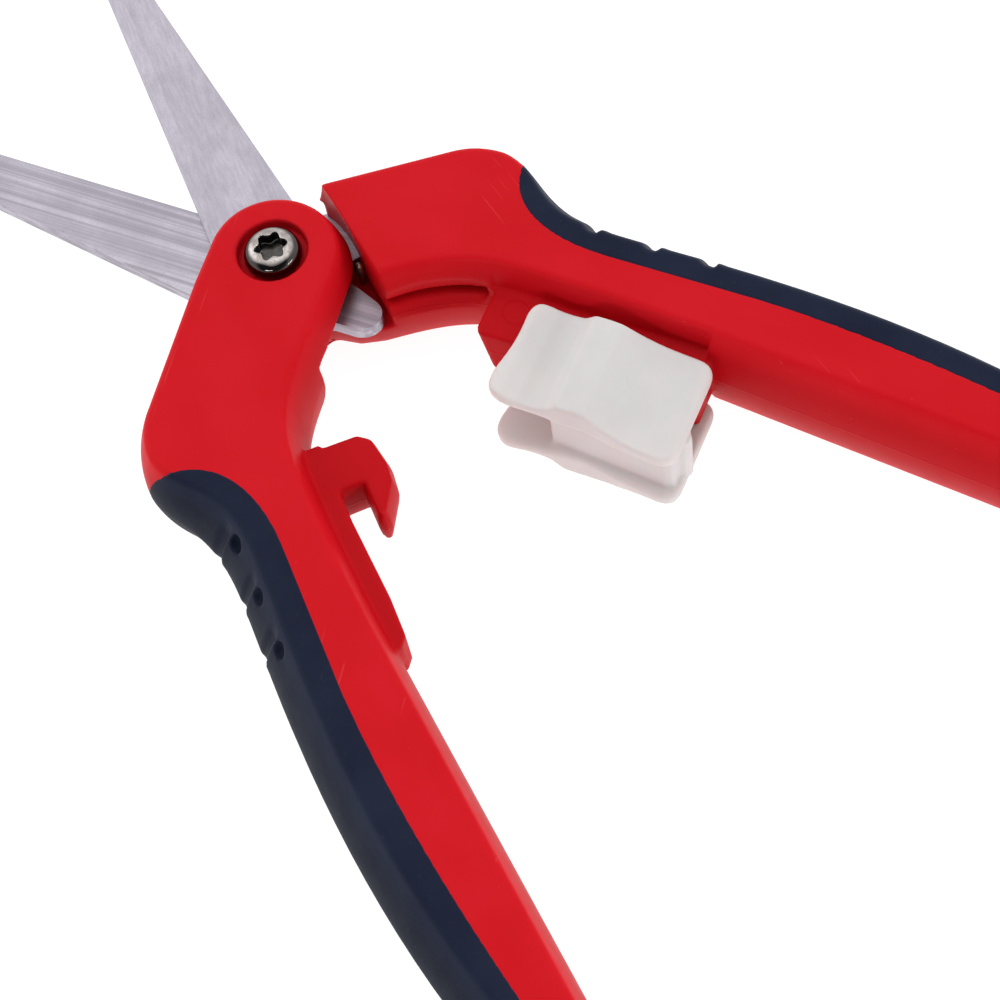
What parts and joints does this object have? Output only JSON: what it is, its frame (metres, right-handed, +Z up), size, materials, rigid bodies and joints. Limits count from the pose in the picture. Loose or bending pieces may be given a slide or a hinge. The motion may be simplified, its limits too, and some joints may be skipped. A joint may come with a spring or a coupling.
{
  "type": "floral snips",
  "caption": "Spring-opened hand snips with long pointed blades, angled two-tone handles and a sliding thumb latch that locks them shut.",
  "frame": {"origin": "on the pivot axis, at the closed end face of the pivot nut, level with the handles' lower faces", "axes": "+X from the pivot towards the handle tails, halving the angle between the open handles; +Y to the right handle; +Z up along the pivot towards the screw head"},
  "size_m": [0.1829, 0.107, 0.017],
  "materials": {
    "handle_plastic": "red, low gloss, moulded",
    "grip_rubber": "navy, fine matte soft-touch skin",
    "blade_steel": "satin, ground along the blade",
    "screw_steel": "bright plated",
    "spring_steel": "drawn wire",
    "latch_plastic": "white, fine matte"
  },
  "bodies": {
    "right_side": {"right_handle": "handle_plastic", "right_grip": "grip_rubber", "right_blade": "blade_steel", "pivot_screw": "screw_steel", "pivot_nut": "screw_steel", "spring_coil": "spring_steel"},
    "left_side": {"left_handle": "handle_plastic", "left_grip": "grip_rubber", "left_blade": "blade_steel", "spring_leg": "spring_steel"},
    "latch_body": {"latch": "latch_plastic"}
  },
  "joints": [
    {"name": "pivot_hinge", "type": "hinge", "parent": "right_side", "child": "left_side", "pos_m": [0, 0, 0.008], "axis": [0, 0, 1], "range_deg": [0, 38], "stiffness_Nm_per_rad": 0.25, "springref_deg": -40.11},
    {"name": "latch_slide", "type": "slide", "parent": "right_side", "child": "latch_body", "axis": [-0.923, -0.3848, 0], "range_m": [0, 0.006]}
  ]
}
